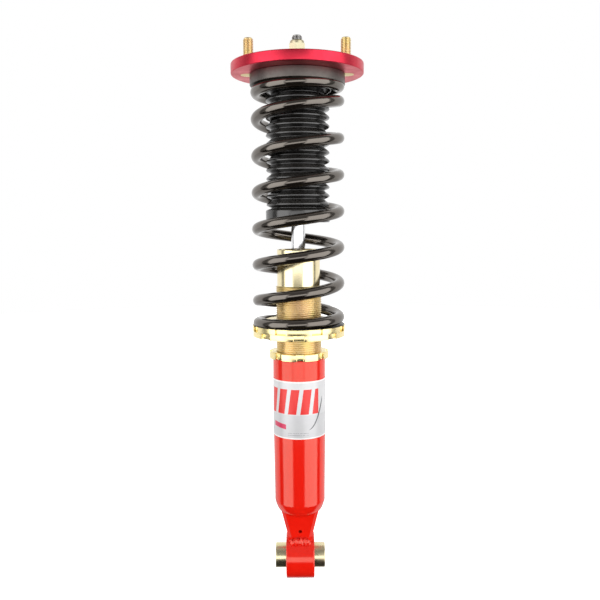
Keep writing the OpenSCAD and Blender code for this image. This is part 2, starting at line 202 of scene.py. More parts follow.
def rounded(corners, steps=4):
    """Turns (x, y, cut) corners into points; a corner with a cut becomes an arc that
    starts that far before it."""
    points = []
    for i, (x, y, cut) in enumerate(corners):
        here = Vector((x, y))
        if not cut:
            points.append(here)
            continue
        back = (Vector(corners[i - 1][:2]) - here).normalized() * cut
        ahead = (Vector(corners[(i + 1) % len(corners)][:2]) - here).normalized() * cut
        for k in range(steps + 1):
            s = k / steps
            points.append(here + back * (1 - s) ** 2 + ahead * s ** 2)
    return points


def turn_outline(mesh, corners, segments=ROUND, steps=4):
    """Spins a closed outline of (radius, height, cut) corners about Z into a solid."""
    points = rounded(corners, steps)
    verts = [mesh.verts.new((p.x, 0, p.y)) for p in points]
    on_axis = 1e-7
    edges = [mesh.edges.new((a, b)) for a, b in zip(verts, verts[1:] + verts[:1])
             if max(a.co.x, b.co.x) > on_axis]
    bmesh.ops.spin(mesh, geom=verts + edges, cent=(0, 0, 0), axis=(0, 0, 1),
                   angle=FULL_TURN, steps=segments, use_merge=True)
    bmesh.ops.remove_doubles(mesh, verts=mesh.verts, dist=on_axis)


def turn_ring(mesh, outer, inner, bottom, top, cut, segments=ROUND):
    """Spins a plain ring with rounded outer edges."""
    turn_outline(mesh, [(inner, bottom, 0), (outer, bottom, cut), (outer, top, cut),
                        (inner, top, 0)], segments)


def only(kind, geom):
    """The vertices, edges or faces among what a mesh operation gives back."""
    return [one for one in geom if isinstance(one, kind)]


def stand(name, mesh):
    """Puts a bmesh into the scene as an object."""
    data = bpy.data.meshes.new(name)
    mesh.to_mesh(data)
    mesh.free()
    made = bpy.data.objects.new(name, data)
    bpy.context.scene.collection.objects.link(made)
    return made


def merge(mesh, other):
    """Moves everything in one bmesh into another."""
    data = bpy.data.meshes.new("moved")
    other.to_mesh(data)
    other.free()
    mesh.from_mesh(data)
    bpy.data.meshes.remove(data)


def wind_thread(mesh, crest, depth, pitch, top, turns, chamfer, segments):
    """Winds whole turns of a right-handed ridge down from a height; the crests shrink over
    the top chamfer."""
    sunk = crest - 1.15 * depth
    flank, land = 0.42 * pitch, 0.08 * pitch    # half heights of the ridge at its root and crest
    bottom = top - turns * pitch
    ridge = bmesh.new()
    verts = [ridge.verts.new((r, 0, bottom + z))
             for r, z in ((sunk, -flank), (crest, -land), (crest, land), (sunk, flank))]
    edges = [ridge.edges.new((a, b)) for a, b in zip(verts, verts[1:] + verts[:1])]
    bmesh.ops.spin(ridge, geom=edges, cent=(0, 0, 0), axis=(0, 0, 1), angle=FULL_TURN,
                   dvec=(0, 0, pitch / segments), steps=segments)
    first = ridge.verts[:] + ridge.edges[:] + ridge.faces[:]
    for turn in range(1, turns):
        copied = bmesh.ops.duplicate(ridge, geom=first)["geom"]
        bmesh.ops.translate(ridge, vec=(0, 0, turn * pitch),
                            verts=only(BMVert, copied))
    bmesh.ops.remove_doubles(ridge, verts=ridge.verts, dist=1e-6)
    ends = [e for e in ridge.edges if len(e.link_faces) == 1]
    for side in (-1, 1):
        bmesh.ops.contextual_create(ridge, geom=[
            e for e in ends if side * (e.verts[0].co.z - (top + bottom) / 2) > 0])
    for v in ridge.verts:
        r = math.hypot(v.co.x, v.co.y)
        limit = crest - max(0.0, v.co.z - (top - chamfer))
        if r > limit:
            v.co.x *= limit / r
            v.co.y *= limit / r
    merge(mesh, ridge)


def lay_along_x(mesh):
    """Turns a body made about Z so that it lies along X."""
    bmesh.ops.rotate(mesh, verts=mesh.verts, cent=(0, 0, 0), matrix=Matrix.Rotation(math.pi / 2, 3, "Y"))


def make_piece(name, mesh, body, material, replaced=(), sharp=32.0):
    """Turns a bmesh into a piece that rides on a body and stands for its CAD nodes."""
    bmesh.ops.recalc_face_normals(mesh, faces=mesh.faces)
    limit = math.radians(sharp)
    for face in mesh.faces:
        face.smooth = True
    for edge in mesh.edges:
        edge.smooth = len(edge.link_faces) == 2 and edge.calc_face_angle(0) < limit
    piece = stand(name, mesh)
    for one in material if isinstance(material, tuple) else (material,):
        piece.data.materials.append(one)
    if body:
        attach(piece, body)
    if replaced:
        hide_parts(*replaced)
    return piece


def cut_with(piece, cutter):
    """Cuts a closed bmesh out of a piece and applies the cut."""
    bmesh.ops.recalc_face_normals(cutter, faces=cutter.faces)
    tool = stand("cutter", cutter)
    modifier = piece.modifiers.new("cut", "BOOLEAN")
    modifier.operation = "DIFFERENCE"
    modifier.solver = "EXACT"
    modifier.object = tool
    graph = bpy.context.evaluated_depsgraph_get()
    result = bpy.data.meshes.new_from_object(piece.evaluated_get(graph))
    piece.modifiers.remove(modifier)
    piece.data = result
    bpy.data.objects.remove(tool)


def notched_ring(mesh, outer, bore, bottom, top, notch, depth, count, start):
    """A flat ring with square spanner notches and broken edges."""
    half = math.asin(notch / 2 / outer)
    sector = FULL_TURN / count
    arc, inside = 7, 12                 # steps along the outer and the inner edge of a sector
    corner, lead, edge = 0.7 * MM, 0.3 * MM, 0.5 * MM
    shoulder = half + 0.02              # angle at which the rim turns into the notch
    mouth = outer * math.cos(half)
    outside = [(sector / 2 - half) * i / arc for i in range(arc)]
    points = [Vector((outer * math.cos(a - sector / 2), outer * math.sin(a - sector / 2)))
              for a in outside]
    points += rounded([(outer * math.cos(shoulder), -outer * math.sin(shoulder), 0),
                       (mouth, -notch / 2, lead), (outer - depth, -notch / 2, corner),
                       (outer - depth, notch / 2, corner), (mouth, notch / 2, lead),
                       (outer * math.cos(shoulder), outer * math.sin(shoulder), 0)], 3)[1:-1]
    points += [Vector((outer * math.cos(sector / 2 - a), outer * math.sin(sector / 2 - a)))
               for a in reversed(outside)]
    points += [Vector((bore * math.cos(a), bore * math.sin(a)))
               for a in (sector / 2 - sector * i / inside for i in range(inside + 1))]
    face = mesh.faces.new([mesh.verts.new((p.x, p.y, bottom)) for p in points])
    geom = [face] + list(face.edges) + list(face.verts)
    bmesh.ops.rotate(mesh, verts=list(face.verts), cent=(0, 0, 0),
                     matrix=Matrix.Rotation(start, 3, "Z"))
    bmesh.ops.spin(mesh, geom=geom, cent=(0, 0, 0), axis=(0, 0, 1), use_duplicate=True,
                   angle=sector * (count - 1), steps=count - 1)
    bmesh.ops.remove_doubles(mesh, verts=mesh.verts, dist=1e-6)
    raised = bmesh.ops.extrude_face_region(mesh, geom=list(mesh.faces))["geom"]
    bmesh.ops.translate(mesh, vec=(0, 0, top - bottom),
                        verts=only(BMVert, raised))
    bmesh.ops.recalc_face_normals(mesh, faces=mesh.faces)
    rim = [e for e in mesh.edges
           if len(e.link_faces) == 2 and e.calc_face_angle(0) > 1.0
           and abs(e.verts[0].co.z - e.verts[1].co.z) < 1e-6
           and all(math.hypot(v.co.x, v.co.y) > bore + 1 * MM for v in e.verts)]
    bmesh.ops.bevel(mesh, geom=rim, offset=edge, offset_type="OFFSET", segments=2,
                    profile=0.5, affect="EDGES", material=-1, clamp_overlap=True)


# ---------------------------------------------------------------- shader tools

def feed(tree, socket, value):
    """Gives a shader input a link, or a value of its own."""
    if isinstance(value, bpy.types.NodeSocket):
        tree.links.new(value, socket)
    else:
        socket.default_value = value


def add(tree, kind, values=None, **options):
    """Adds a shader node; values gives its inputs by name or number, as a value or a link."""
    node = tree.nodes.new("ShaderNode" + kind)
    for option, value in options.items():
        setattr(node, option, value)
    for key, value in (values or {}).items():
        feed(tree, node.inputs[key], value)
    return node


def maths(tree, operation, a, b=0.5, clamp=False):
    return add(tree, "Math", {0: a, 1: b}, operation=operation, use_clamp=clamp).outputs[0]


def blend_colours(tree, factor, a, b):
    """Mixes two colours; each is a colour or a link."""
    node = add(tree, "Mix", data_type="RGBA")
    for number, value in ((0, factor), (6, a), (7, b)):
        feed(tree, node.inputs[number], value)
    return node.outputs[2]


def new_group(name, inputs, outputs):
    """An empty shader group with (name, type, default) inputs and (name, type) outputs."""
    tree = bpy.data.node_groups.new(name, "ShaderNodeTree")
    for label, kind, default in inputs:
        socket = tree.interface.new_socket(label, in_out="INPUT", socket_type="NodeSocket" + kind)
        if default is not None:
            socket.default_value = default
    for label, kind in outputs:
        tree.interface.new_socket(label, in_out="OUTPUT", socket_type="NodeSocket" + kind)
    return tree, tree.nodes.new("NodeGroupInput").outputs, tree.nodes.new("NodeGroupOutput").inputs


def group_mottle():
    """Cloudy variation in two sizes, from 0 to 1."""
    tree, given, result = new_group("mottle", [("Vector", "Vector", None), ("Scale", "Float", 60.0)],
                                    [("Mask", "Float")])
    broad = add(tree, "TexNoise", {"Vector": given["Vector"], "Scale": given["Scale"], "Detail": 3.0})
    fine = add(tree, "TexNoise", {"Vector": given["Vector"], "Detail": 2.0,
                                  "Scale": maths(tree, "MULTIPLY", given["Scale"], 6.0)})
    both = maths(tree, "ADD", maths(tree, "MULTIPLY", broad.outputs["Fac"], 0.7),
                 maths(tree, "MULTIPLY", fine.outputs["Fac"], 0.3))
    spread = add(tree, "MapRange", {"Value": both, "From Min": 0.35, "From Max": 0.65})
    tree.links.new(spread.outputs["Result"], result["Mask"])
    return tree


def group_grain():
    """Fine even grain of a powder coat, moulding or anodising, as a height."""
    tree, given, result = new_group("grain", [("Vector", "Vector", None), ("Scale", "Float", 900.0)],
                                    [("Height", "Float")])
    noise = add(tree, "TexNoise", {"Vector": given["Vector"], "Scale": given["Scale"], "Detail": 2.0,
                                   "Roughness": 0.6})
    tree.links.new(noise.outputs["Fac"], result["Height"])
    return tree


def group_turning():
    """Fine tool marks that run round the Z axis, as a height."""
    tree, given, result = new_group("turning", [("Vector", "Vector", None), ("Scale", "Float", 1500.0)],
                                    [("Height", "Float")])
    parts = add(tree, "SeparateXYZ", {0: given["Vector"]})
    flat = add(tree, "CombineXYZ", {0: parts.outputs[0], 1: parts.outputs[1]})
    out = add(tree, "VectorMath", {0: flat.outputs[0]}, operation="LENGTH").outputs["Value"]
    place = add(tree, "CombineXYZ", {0: out, 1: parts.outputs[2]})
    fine = add(tree, "TexNoise", {"Vector": place.outputs[0], "Scale": given["Scale"], "Detail": 3.0})
    patch = add(tree, "TexNoise", {"Vector": given["Vector"], "Scale": 90.0})
    height = maths(tree, "MULTIPLY", fine.outputs["Fac"],
                   maths(tree, "ADD", patch.outputs["Fac"], 0.4))
    tree.links.new(height, result["Height"])
    return tree


def group_edge_wear():
    """Worn edges: where a rounded normal leaves the true one, broken up by noise."""
    tree, given, result = new_group(
        "edge_wear", [("Vector", "Vector", None), ("Width", "Float", 0.0006), ("Amount", "Float", 0.5)],
        [("Mask", "Float")])
    soft = add(tree, "Bevel", {"Radius": given["Width"]}, samples=6)
    plain = add(tree, "NewGeometry")
    match = add(tree, "VectorMath", {0: soft.outputs[0], 1: plain.outputs["Normal"]},
                operation="DOT_PRODUCT").outputs["Value"]
    edge = add(tree, "MapRange", {"Value": match, "From Min": 0.985, "From Max": 0.9})
    noise = add(tree, "TexNoise", {"Vector": given["Vector"], "Scale": 420.0, "Detail": 4.0})
    patches = add(tree, "MapRange", {"Value": noise.outputs["Fac"], "From Min": 0.42, "From Max": 0.62})
    mask = maths(tree, "MULTIPLY", edge.outputs["Result"], patches.outputs["Result"])
    tree.links.new(maths(tree, "MULTIPLY", mask, given["Amount"], clamp=True), result["Mask"])
    return tree


def group_dust():
    """Dust that settles on faces that look up."""
    tree, given, result = new_group("dust", [("Vector", "Vector", None), ("Amount", "Float", 0.2)],
                                    [("Mask", "Float")])
    plain = add(tree, "NewGeometry")
    up = add(tree, "SeparateXYZ", {0: plain.outputs["Normal"]}).outputs[2]
    facing = add(tree, "MapRange", {"Value": up, "From Min": 0.1, "From Max": 0.95})
    specks = add(tree, "TexNoise", {"Vector": given["Vector"], "Scale": 700.0, "Detail": 5.0,
                                    "Roughness": 0.7})
    patches = add(tree, "MapRange", {"Value": specks.outputs["Fac"], "From Min": 0.4, "From Max": 0.7})
    mask = maths(tree, "MULTIPLY", facing.outputs["Result"], patches.outputs["Result"])
    tree.links.new(maths(tree, "MULTIPLY", mask, given["Amount"], clamp=True), result["Mask"])
    return tree


def group_passivate():
    """Yellow passivate on zinc: gold that drifts to green, pink and pale."""
    tree, given, result = new_group(
        "passivate", [("Vector", "Vector", None), ("Base", "Color", (0.7, 0.5, 0.2, 1)),
                      ("Drift", "Float", 0.3)], [("Color", "Color")])
    green = add(tree, "TexNoise", {"Vector": given["Vector"], "Scale": 55.0, "Detail": 2.0})
    offset = add(tree, "VectorMath", {0: given["Vector"], 1: (0.31, 0.17, 0.23)}, operation="ADD")
    pink = add(tree, "TexNoise", {"Vector": offset.outputs[0], "Scale": 38.0, "Detail": 2.0})
    to_green = add(tree, "MapRange", {"Value": green.outputs["Fac"], "From Min": 0.48, "From Max": 0.7})
    to_pink = add(tree, "MapRange", {"Value": pink.outputs["Fac"], "From Min": 0.5, "From Max": 0.72})
    first = blend_colours(tree, maths(tree, "MULTIPLY", to_green.outputs["Result"], given["Drift"]),
                          given["Base"], (0.62, 0.62, 0.22, 1))
    second = blend_colours(tree, maths(tree, "MULTIPLY", to_pink.outputs["Result"], given["Drift"]),
                           first, (0.85, 0.5, 0.36, 1))
    tree.links.new(second, result["Color"])
    return tree


GROUPS = {}


def group(tree, name, **values):
    """Places a shared group; values gives its inputs."""
    node = tree.nodes.new("ShaderNodeGroup")
    node.node_tree = GROUPS[name]
    for key, value in values.items():
        feed(tree, node.inputs[key], value)
    return node.outputs[0]


class Finish:
    """A material with Object coordinates and short ways to reach its shader."""

    def __init__(self, name, **plain):
        self.material = bpy.data.materials.new(name)
        self.material.use_nodes = True
        self.tree = self.material.node_tree
        self.shader = self.tree.nodes["Principled BSDF"]
        self.place = add(self.tree, "TexCoord").outputs["Object"]
        for key, value in plain.items():
            self.shader.inputs[key.replace("_", " ").title().replace("Ior", "IOR")].default_value = value

    def set(self, socket, link):
        self.tree.links.new(link, self.shader.inputs[socket])

    def bump(self, height, strength, distance=0.1 * MM):
        node = add(self.tree, "Bump", {"Height": height, "Strength": strength, "Distance": distance})
        self.set("Normal", node.outputs[0])

    def roughness(self, mask, smooth, rough):
        spread = add(self.tree, "MapRange", {"Value": mask, "To Min": smooth, "To Max": rough})
        self.set("Roughness", spread.outputs["Result"])

    def along_x(self):
        """Turns the coordinates so that marks about Z run about X."""
        node = add(self.tree, "Mapping", {"Vector": self.place, "Rotation": (0, math.pi / 2, 0)})
        self.place = node.outputs[0]


def painted(name, colour, darker, grain, wear, rough, **plain):
    """A gloss powder coat: slight orange peel, cloudy tone, dark worn edges and dust."""
    made = Finish(name, **plain)
    tree = made.tree
    cloud = group(tree, "mottle", Vector=made.place, Scale=45.0)
    tone = blend_colours(tree, cloud, (*colour, 1), (*darker, 1))
    worn = group(tree, "edge_wear", Vector=made.place, Width=0.5 * MM, Amount=wear)
    tone = blend_colours(tree, worn, tone, (0.25, 0.22, 0.2, 1))
    dust = group(tree, "dust", Vector=made.place, Amount=0.05)
    made.set("Base Color", blend_colours(tree, dust, tone, (0.5, 0.47, 0.44, 1)))
    made.roughness(cloud, *rough)
    made.bump(group(tree, "grain", Vector=made.place, Scale=grain), 0.12, 0.15 * MM)
    return made.material


def plated(name, colour, drift, rough, marks=1500.0, strength=0.25, lying=False, wear=0.25):
    """Zinc plate on turned steel: tool marks, drifting passivate and pale edges."""
    made = Finish(name, metallic=1.0)
    tree = made.tree
    if lying:
        made.along_x()
    tone = group(tree, "passivate", Vector=made.place, Base=(*colour, 1), Drift=drift)
    worn = group(tree, "edge_wear", Vector=made.place, Width=0.4 * MM, Amount=wear)
    made.set("Base Color", blend_colours(tree, worn, tone, (0.86, 0.84, 0.78, 1)))
    cloud = group(tree, "mottle", Vector=made.place, Scale=70.0)
    made.roughness(cloud, *rough)
    made.bump(group(tree, "turning", Vector=made.place, Scale=marks), strength, 0.05 * MM)
    return made.material


def metal(name, colour, rough, marks=1800.0, strength=0.15, wear=0.0, edge=(0.8, 0.8, 0.8)):
    """Turned or ground metal with fine marks and a cloudy polish."""
    made = Finish(name, metallic=1.0)
    tree = made.tree
    cloud = group(tree, "mottle", Vector=made.place, Scale=80.0)
    deep = tuple(0.86 * c for c in colour)
    tone = blend_colours(tree, cloud, (*colour, 1), (*deep, 1))
    if wear:
        worn = group(tree, "edge_wear", Vector=made.place, Width=0.5 * MM, Amount=wear)
        tone = blend_colours(tree, worn, tone, (*edge, 1))
    made.set("Base Color", tone)
    made.roughness(cloud, *rough)
    made.bump(group(tree, "turning", Vector=made.place, Scale=marks), strength, 0.04 * MM)
    return made.material


def moulded(name, colour, rough, grain, dusty, strength=0.3, level=0.5):
    """Rubber, nylon or foam: moulded grain, cloudy tone and settled dust."""
    made = Finish(name, specular_ior_level=level)
    tree = made.tree
    cloud = group(tree, "mottle", Vector=made.place, Scale=60.0)
    pale = tuple(min(1.0, 1.35 * c + 0.004) for c in colour)
    tone = blend_colours(tree, cloud, (*colour, 1), (*pale, 1))
    dust = group(tree, "dust", Vector=made.place, Amount=dusty)
    made.set("Base Color", blend_colours(tree, dust, tone, (0.36, 0.34, 0.32, 1)))
    made.roughness(cloud, *rough)
    made.bump(group(tree, "grain", Vector=made.place, Scale=grain), strength, 0.08 * MM)
    return made.material


def printed_label(name, film):
    """Silver film printed with plain slanted bars, a swoosh and fine rules; it reads a UV
    map in metres, with U round the tube from the front and V up from the label's foot."""
    made = Finish(name, metallic=0.12, coat_weight=0.3, coat_roughness=0.2)
    tree = made.tree
    parts = add(tree, "SeparateXYZ", {0: add(tree, "UVMap", uv_map="wrap").outputs[0]})
    across, up = parts.outputs[0], parts.outputs[1]

    def between(value, least, most):
        return maths(tree, "MULTIPLY", maths(tree, "GREATER_THAN", value, least),
                     maths(tree, "LESS_THAN", value, most))

    cloud = group(tree, "mottle", Vector=made.place, Scale=120.0)
    tone = blend_colours(tree, cloud, (*film, 1), tuple(0.95 * c for c in film) + (1,))
    shade = maths(tree, "MULTIPLY", maths(tree, "LESS_THAN", up, 24 * MM), 0.22)
    tone = blend_colours(tree, shade, tone, (0.4, 0.39, 0.41, 1))
    middle, printed = 29 * MM, 27.6 * MM        # height of the label's middle, half the printed height
    rim = maths(tree, "LESS_THAN",
                maths(tree, "ABSOLUTE", maths(tree, "SUBTRACT", up, middle)), printed)
    tone = blend_colours(tree, rim, (0.95, 0.93, 0.92, 1), tone)
    slant = maths(tree, "SUBTRACT", across, maths(tree, "MULTIPLY", up, 0.14))
    pitch = 12.6 * MM
    cell = maths(tree, "PINGPONG", maths(tree, "ADD", slant, 0.2), pitch / 2)
    bars = maths(tree, "LESS_THAN", cell, 4.3 * MM)
    band = between(up, 25 * MM, 50 * MM)
    reach = between(across, -44 * MM, 21 * MM)
    red = maths(tree, "MULTIPLY", maths(tree, "MULTIPLY", bars, band), reach)
    tone = blend_colours(tree, red, tone, (0.8, 0.02, 0.015, 1))
    bow = maths(tree, "ADD", 9 * MM, maths(tree, "MULTIPLY", maths(tree, "POWER", maths(
        tree, "SUBTRACT", across, 8 * MM), 2.0), 85.0))
    off = maths(tree, "ABSOLUTE", maths(tree, "SUBTRACT", up, bow))
    thick = add(tree, "MapRange", {"Value": across, "From Min": 10 * MM, "From Max": 24 * MM,
                                   "To Min": 0.15 * MM, "To Max": 2.4 * MM}).outputs["Result"]
    swoosh = maths(tree, "MULTIPLY", maths(tree, "LESS_THAN", off, thick),
                   between(across, 10 * MM, 27 * MM))
    tone = blend_colours(tree, swoosh, tone, (0.12, 0.12, 0.13, 1))
    rule = maths(tree, "LESS_THAN", maths(tree, "PINGPONG", up, 1.0 * MM), 0.24 * MM)
    rules = maths(tree, "MULTIPLY", maths(tree, "MULTIPLY", rule, between(up, 2.4 * MM, 7.6 * MM)),
                  between(across, -12 * MM, 9 * MM))
    dashes = add(tree, "TexNoise", {"Vector": parts.inputs[0].links[0].from_socket, "Scale": 900.0})
    rules = maths(tree, "MULTIPLY", rules, maths(tree, "GREATER_THAN", dashes.outputs["Fac"], 0.42))
    tone = blend_colours(tree, maths(tree, "MULTIPLY", rules, 0.75), tone, (0.2, 0.2, 0.22, 1))
    chip = maths(tree, "MULTIPLY", between(maths(tree, "ADD", up, maths(tree, "MULTIPLY", across, 0.1)),
                                           8 * MM, 13 * MM), between(across, -31 * MM, -14 * MM))
    tone = blend_colours(tree, chip, tone, (0.7, 0.04, 0.12, 1))
    made.set("Base Color", tone)
    made.roughness(cloud, 0.34, 0.42)
    made.bump(group(tree, "grain", Vector=made.place, Scale=500.0), 0.05, 0.05 * MM)
    return made.material


MATERIALS = {}


def make_materials():
    """Builds the shared groups and one material for each of the record's slots."""
    for maker in (group_mottle, group_grain, group_turning, group_edge_wear, group_dust,
                  group_passivate):
        tree = maker()
        GROUPS[tree.name] = tree
    pick = finish()
    made = MATERIALS
    made["red_paint"] = painted("red_paint", pick.red_paint, (0.82, 0.008, 0.002), 260.0, 0.15,
                                (0.1, 0.16), specular_ior_level=0.85, specular_tint=(1, 0.9, 0.72, 1))
    made["black_paint"] = painted("black_paint", pick.black_paint, (0.008, 0.005, 0.003), 260.0, 0.1,
                                  (0.1, 0.16), specular_ior_level=1.0, ior=1.72,
                                  specular_tint=(1, 0.9, 0.8, 1))
    made["red_anodised"] = metal("red_anodised", tuple(pick.red_anodised), (0.3, 0.4), 1200.0, 0.12,
                                 0.35, (0.9, 0.5, 0.5))
    made["black_anodised"] = metal("black_anodised", (0.15, 0.135, 0.125), (0.4, 0.5), 1100.0, 0.15,
                                   0.4, (0.35, 0.34, 0.33))
    made["gold_zinc"] = plated("gold_zinc", tuple(pick.zinc), 0.35, (0.3, 0.42))
    made["pale_zinc"] = plated("pale_zinc", (0.9, 0.79, 0.5), 0.15, (0.16, 0.24), 1000.0, 0.08)
    made["polished_zinc"] = plated("polished_zinc", tuple(pick.bright_zinc), 0.15, (0.2, 0.3), 1300.0,
                                   0.15)
    made["lying_zinc"] = plated("lying_zinc", (0.8, 0.72, 0.46), 0.5, (0.24, 0.34), 1200.0, 0.3,
                                True)
    made["bright_zinc"] = plated("bright_zinc", (0.5, 0.46, 0.31), 0.3, (0.3, 0.42), 1200.0)
    made["chrome"] = metal("chrome", (0.86, 0.86, 0.87), (0.16, 0.22), 2600.0, 0.05)
    made["steel"] = metal("steel", (0.36, 0.35, 0.34), (0.3, 0.42))
    made["bare_aluminium"] = metal("bare_aluminium", (0.75, 0.75, 0.75), (0.28, 0.4))
    made["black_rubber"] = moulded("black_rubber", (0.008, 0.007, 0.006), (0.16, 0.28), 1100.0, 0.1,
                                   0.12, 1.0)
    made["foam"] = moulded("foam", (0.7, 0.58, 0.2), (0.7, 0.85), 500.0, 0.1, 0.6)
    made["nylon"] = moulded("nylon", (0.75, 0.75, 0.7), (0.4, 0.5), 700.0, 0.05)
    made["black_nylon"] = moulded("black_nylon", (0.012, 0.012, 0.012), (0.3, 0.4), 900.0, 0.05)
    made["band"] = moulded("band", (0.08, 0.16, 0.12), (0.4, 0.5), 900.0, 0.05)
    made["label"] = printed_label("label", tuple(pick.label))


# ---------------------------------------------------------------- pieces

class COILOVER_OT_top_plate(bpy.types.Operator):
    """Adds the anodised top plate with its stud holes and the black upper spring seat"""

    bl_idname = "coilover.top_plate"
    bl_label = "Top plate and seat"

    def execute(self, context):
        bottom, top = low("top_plate"), high("top_plate")
        outer, bore = radius("top_plate"), 13 * MM
        recess, let_in = radius("upper_bush") + 0.6 * MM, 0.5 * MM
        head = 8.1 * MM
        mesh = bmesh.new()
        turn_outline(mesh, [(bore, bottom, 0), (outer, bottom, 1.1 * MM), (outer, top, 1.1 * MM),
                            (recess, top, 0), (recess, top - let_in, 0), (bore, top - let_in, 0)], 192)
        plate = make_piece("top_plate_turned", mesh, None, MATERIALS["red_anodised"])
        holes = bmesh.new()
        for side in (-1, 1):
            hole = bmesh.new()
            turn_outline(hole, [(0, bottom - MM, 0), (head, bottom - MM, 0),
                                (head, bottom + STUD_HEAD, 0), (STUD_SHANK, bottom + STUD_HEAD, 0),
                                (STUD_SHANK, top + MM, 0), (0, top + MM, 0)], SMALL_ROUND)
            bmesh.ops.translate(hole, verts=hole.verts, vec=(side * stud_reach(), 0, 0))
            merge(holes, hole)
        cut_with(plate, holes)
        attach(plate, "top_mount")
        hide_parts("top_plate")
        seat = bmesh.new()
        r = radius("upper_spring_seat")
        step = high("main_spring")
        foot = step - 6.5 * MM
        bore, spigot = 17.5 * MM, 29.5 * MM
        turn_outline(seat, [(bore, foot, 0), (spigot, foot, 0.5 * MM), (spigot, step, 0.5 * MM),
                            (r, step, 1.0 * MM), (r, bottom, 0.6 * MM), (bore, bottom, 0)])
        make_piece("spring_seat_turned", seat, "top_mount",
                   MATERIALS["black_anodised"], ["upper_spring_seat"])
        return {"FINISHED"}


class COILOVER_OT_studs(bpy.types.Operator):
    """Adds the two threaded studs with their flush heads"""

    bl_idname = "coilover.studs"
    bl_label = "Mounting studs"

    def execute(self, context):
        pitch = sizes().stud_pitch
        bottom, plate_top, top = low("mount_studs"), high("top_plate"), high("mount_studs")
        head, crest, depth = 8 * MM, 5 * MM, 0.65 * MM
        core = crest - depth
        shelf = bottom + STUD_HEAD
        thread_top = top - 0.3 * MM
        mesh = bmesh.new()
        for side in (-1, 1):
            stud = bmesh.new()
            turn_outline(stud, [(0, bottom, 0), (head, bottom, 0.3 * MM), (head, shelf, 0),
                                (STUD_SHANK, shelf, 0), (STUD_SHANK, plate_top, 0), (core, plate_top, 0),
                                (core, top - 0.7 * MM, 0.5 * MM), (core - 0.8 * MM, top, 0.4 * MM),
                                (0, top, 0)], SMALL_ROUND)
            wind_thread(stud, crest, depth, pitch, thread_top, math.ceil((thread_top - plate_top) / pitch),
                        1.6 * MM, 40)
            bmesh.ops.translate(stud, verts=stud.verts, vec=(side * stud_reach(), 0, 0))
            merge(mesh, stud)
        make_piece("mount_studs_threaded", mesh, "top_mount", MATERIALS["gold_zinc"],
                   ["mount_studs"])
        return {"FINISHED"}


class COILOVER_OT_rod(bpy.types.Operator):
    """Adds the chromed piston rod with its threaded upper end and the locking nut"""

    bl_idname = "coilover.rod"
    bl_label = "Piston rod and nut"

    def execute(self, context):
        bottom, top = low("piston_rod"), high("piston_rod")
        shoulder = high("main_spring")
        step = low("top_out_washer") + 3 * MM
        thick, crest, depth = 7 * MM, 5 * MM, 0.75 * MM
        core = crest - depth
        thread_foot = high("top_plate") + 2 * MM
        turns = 18
        mesh = bmesh.new()
        turn_outline(mesh, [(0, bottom, 0), (crest, bottom, 1 * MM), (crest, step, 0),
                            (thick, step, 0.4 * MM), (thick, shoulder, 0.5 * MM), (crest, shoulder, 0),
                            (crest, thread_foot - MM, 0.3 * MM), (core, thread_foot, 0),
                            (core, top - 0.5 * MM, 0.4 * MM),
                            (core - 0.6 * MM, top, 0.3 * MM), (0, top, 0)], 96)
        wind_thread(mesh, crest, depth, 1.25 * MM, top - 0.3 * MM, turns, 1.2 * MM, 40)
        piece = make_piece("piston_rod_ground", mesh, "top_mount",
                           (MATERIALS["chrome"], MATERIALS["steel"]), ["piston_rod"])
        for face in piece.data.polygons:
            face.material_index = int(face.center.z > high("top_plate"))
        foot, crown = low("rod_nut"), high("rod_nut")
        flats, corner = 7.5 * MM, 9.4 * MM
        shoulder = foot + 8.8 * MM
        relief = flats + 0.05 * MM
        nut = bmesh.new()
        bmesh.ops.create_cone(
            nut, cap_ends=True, segments=6, radius1=flats / math.cos(math.pi / 6),
            radius2=flats / math.cos(math.pi / 6), depth=shoulder - foot,
            matrix=Matrix.Translation((0, 0, (foot + shoulder) / 2)))
        piece = make_piece("rod_nut_hex", nut, None, MATERIALS["bright_zinc"])
        cone = bmesh.new()
        turn_outline(cone, [(relief, shoulder + MM, 0), (relief, shoulder, 0),
                            (corner, shoulder - 1.1 * MM, 0), (corner, shoulder + MM, 0)], SMALL_ROUND)
        turn_outline(cone, [(relief, foot - MM, 0), (corner, foot - MM, 0),
                            (corner, foot + 0.9 * MM, 0), (relief, foot, 0)], SMALL_ROUND)
        cut_with(piece, cone)
        mesh = bmesh.new()
        mesh.from_mesh(piece.data)
        bpy.data.objects.remove(piece)
        insert = high("nut_insert")
        seat, collar, mouth = 6.05 * MM, 6.9 * MM, 5.35 * MM
        turn_outline(mesh, [(seat, shoulder - MM, 0), (collar, shoulder - MM, 0),
                            (collar, crown, 1.6 * MM), (mouth, crown, 0.2 * MM),
                            (mouth, insert, 0), (seat, insert, 0)], SMALL_ROUND)
        make_piece("rod_nut_locking", mesh, "top_mount", MATERIALS["bright_zinc"],
                   ["rod_nut"])
        return {"FINISHED"}


def soft_ramp(turn, ramp=40.0):
    """Rise of a helix whose pitch changes over a short ramp centred on zero."""
    if abs(turn) > ramp:
        return max(turn, 0.0)
    return (turn + ramp) ** 2 / (4 * ramp)


